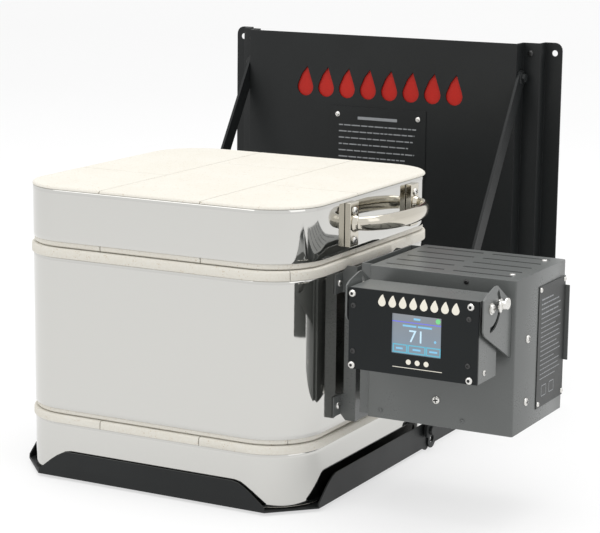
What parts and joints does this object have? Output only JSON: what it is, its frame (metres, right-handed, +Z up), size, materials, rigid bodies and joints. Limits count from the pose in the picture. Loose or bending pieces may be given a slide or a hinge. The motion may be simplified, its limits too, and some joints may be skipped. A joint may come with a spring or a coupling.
{
  "type": "pottery kiln",
  "caption": "Square firebrick test kiln in stacked steel-banded sections, with a tilting touch-screen controller, on a sheet-metal wall stand.",
  "frame": {"origin": "middle of the kiln's footprint, on the underside of the stand's tray", "axes": "+X to the right along the kiln's front, towards the control box; +Y back towards the wall panel; +Z up"},
  "size_m": [0.581, 0.5533, 0.4244],
  "materials": {
    "firebrick": "matte",
    "polished_steel": "polished",
    "black_coat": "satin",
    "grey_coat": "satin",
    "red_enamel": "satin",
    "zinc": "satin",
    "rubber": "matte",
    "element_wire": "satin",
    "ceramic_tube": "matte",
    "black_face": "satin",
    "screen": "gloss",
    "circuit_board": "satin",
    "black_plastic": "satin",
    "transformer_core": "satin"
  },
  "bodies": {
    "stand": {"stand_tray": "black_coat", "stand_foot_left": "rubber", "stand_foot_right": "rubber", "stand_arm_left": "black_coat", "stand_arm_right": "black_coat", "stand_brace_left": "black_coat", "stand_brace_right": "black_coat", "brace_bolt_left_lower": "zinc", "brace_bolt_left_upper": "zinc", "brace_bolt_right_lower": "zinc", "brace_bolt_right_upper": "zinc", "stand_back_panel": "black_coat", "emblem_backing": "red_enamel", "stand_sign_plate": "black_coat"},
    "base_section": {"base_brick_left": "firebrick", "base_brick_middle": "firebrick", "base_brick_right": "firebrick", "base_band": "polished_steel"},
    "chamber_ring": {"ring_brick_front": "firebrick", "ring_brick_right": "firebrick", "ring_brick_back": "firebrick", "ring_brick_left": "firebrick", "ring_band": "polished_steel", "heating_element_lower": "element_wire", "heating_element_middle": "element_wire", "heating_element_upper": "element_wire", "element_bushing_lower": "ceramic_tube", "element_bushing_upper": "ceramic_tube", "thermocouple": "ceramic_tube", "heat_baffle": "grey_coat", "box_chassis_channel": "grey_coat", "box_spacer_lower": "zinc", "box_spacer_upper": "zinc", "box_spacer_back": "zinc", "box_shell": "grey_coat", "box_data_plate": "black_face", "box_back_plate": "grey_coat", "cord_gland": "black_plastic", "power_board": "circuit_board", "transformer": "transformer_core", "display_bracket": "grey_coat"},
    "power_switch": {"power_switch_rocker": "black_plastic"},
    "display_pod": {"display_housing": "grey_coat", "display_faceplate": "black_face", "touch_screen": "screen", "controller_board": "circuit_board", "pivot_screw_left": "zinc", "pivot_screw_right": "zinc"},
    "clamp_knob_left": {"clamp_knob_left": "zinc"},
    "clamp_knob_right": {"clamp_knob_right": "zinc"},
    "lid": {"lid_band": "polished_steel", "lid_brick_left_front": "firebrick", "lid_brick_left_back": "firebrick", "lid_brick_middle_front": "firebrick", "lid_brick_middle_back": "firebrick", "lid_brick_right_front": "firebrick", "lid_brick_right_back": "firebrick", "handle_flange_near": "polished_steel", "handle_flange_far": "polished_steel", "handle_grip": "polished_steel"}
  },
  "joints": [
    {"name": "base_lift", "type": "slide", "parent": "stand", "child": "base_section", "axis": [0, 0, 1], "range_m": [0, 0.08]},
    {"name": "ring_lift", "type": "slide", "parent": "base_section", "child": "chamber_ring", "axis": [0, 0, 1], "range_m": [0, 0.25]},
    {"name": "lid_lift", "type": "slide", "parent": "chamber_ring", "child": "lid", "axis": [0, 0, 1], "range_m": [0, 0.25]},
    {"name": "display_tilt", "type": "hinge", "parent": "chamber_ring", "child": "display_pod", "pos_m": [0.2875, -0.15, 0.2252], "axis": [1, 0, 0], "range_deg": [-85, 18]},
    {"name": "clamp_knob_left_turn", "type": "hinge", "parent": "display_pod", "child": "clamp_knob_left", "pos_m": [0.21745, -0.13, 0.2252], "axis": [1, 0, 0], "range_deg": [-360, 0]},
    {"name": "clamp_knob_right_turn", "type": "hinge", "parent": "display_pod", "child": "clamp_knob_right", "pos_m": [0.35755, -0.13, 0.2252], "axis": [1, 0, 0], "range_deg": [0, 360]},
    {"name": "power_switch_rock", "type": "hinge", "parent": "chamber_ring", "child": "power_switch", "pos_m": [0.331, 0.028, 0.1782], "axis": [1, 0, 0], "range_deg": [0, 12]}
  ]
}
